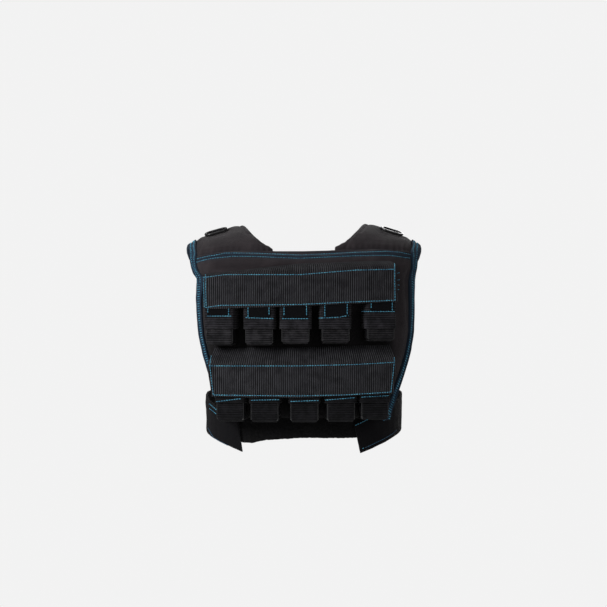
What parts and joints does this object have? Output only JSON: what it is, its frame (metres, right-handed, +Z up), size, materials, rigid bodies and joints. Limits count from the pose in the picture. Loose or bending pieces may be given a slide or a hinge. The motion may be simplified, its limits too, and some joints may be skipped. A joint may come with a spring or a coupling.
{
  "type": "weighted vest",
  "caption": "Worn weighted training vest: padded panels, webbing-flapped pockets holding iron blocks at the back, belt wings and shoulder rings.",
  "frame": {"origin": "midway between the shoulders, level with the undersides of the shoulder pads at the middle of their width at the crest", "axes": "+Z up, +Y towards the wearer's front, -Y towards the back with the pocket rows, +X to the right as seen from behind"},
  "size_m": [0.3909, 0.2605, 0.3796],
  "materials": {
    "padded_fabric": "matt woven polyester over thin padding, blue topstitching",
    "binding_tape": "folded woven tape with two rows of blue stitches",
    "ribbed_webbing": "wide webbing with upright ribs, edged with blue stitches",
    "sleeve_webbing": "wide woven webbing",
    "strap_webbing": "cross-ribbed webbing",
    "coated_iron": "cast iron with black coating",
    "loop_pile": "fuzzy loop pile of a hook and loop fastener",
    "belt_fabric": "matt woven fabric with stitched hems",
    "ring_plastic": "glossy moulded plastic"
  },
  "bodies": {
    "root": {"back_panel": "padded_fabric", "front_panel": "padded_fabric", "shoulder_pad_left": "padded_fabric", "shoulder_pad_right": "padded_fabric", "armhole_binding_left": "binding_tape", "armhole_binding_right": "binding_tape", "upper_flap": "ribbed_webbing", "lower_flap": "ribbed_webbing", "upper_weight_1": "coated_iron", "upper_weight_2": "coated_iron", "upper_weight_3": "coated_iron", "upper_weight_4": "coated_iron", "upper_weight_5": "coated_iron", "lower_weight_1": "coated_iron", "lower_weight_2": "coated_iron", "lower_weight_3": "coated_iron", "lower_weight_4": "coated_iron", "lower_weight_5": "coated_iron", "upper_strap_1": "strap_webbing", "upper_strap_2": "strap_webbing", "upper_strap_3": "strap_webbing", "upper_strap_4": "strap_webbing", "upper_strap_5": "strap_webbing", "lower_strap_1": "strap_webbing", "lower_strap_2": "strap_webbing", "lower_strap_3": "strap_webbing", "lower_strap_4": "strap_webbing", "lower_strap_5": "strap_webbing", "upper_sleeve_1": "sleeve_webbing", "upper_sleeve_2": "sleeve_webbing", "upper_sleeve_3": "sleeve_webbing", "upper_sleeve_4": "sleeve_webbing", "upper_sleeve_5": "sleeve_webbing", "lower_sleeve_1": "sleeve_webbing", "lower_sleeve_2": "sleeve_webbing", "lower_sleeve_3": "sleeve_webbing", "lower_sleeve_4": "sleeve_webbing", "lower_sleeve_5": "sleeve_webbing", "back_belt": "loop_pile", "belt_wing_left": "belt_fabric", "belt_wing_right": "belt_fabric", "shoulder_ring_left": "ring_plastic", "shoulder_ring_right": "ring_plastic", "ring_tab_left": "strap_webbing", "ring_tab_right": "strap_webbing"}
  },
  "joints": []
}
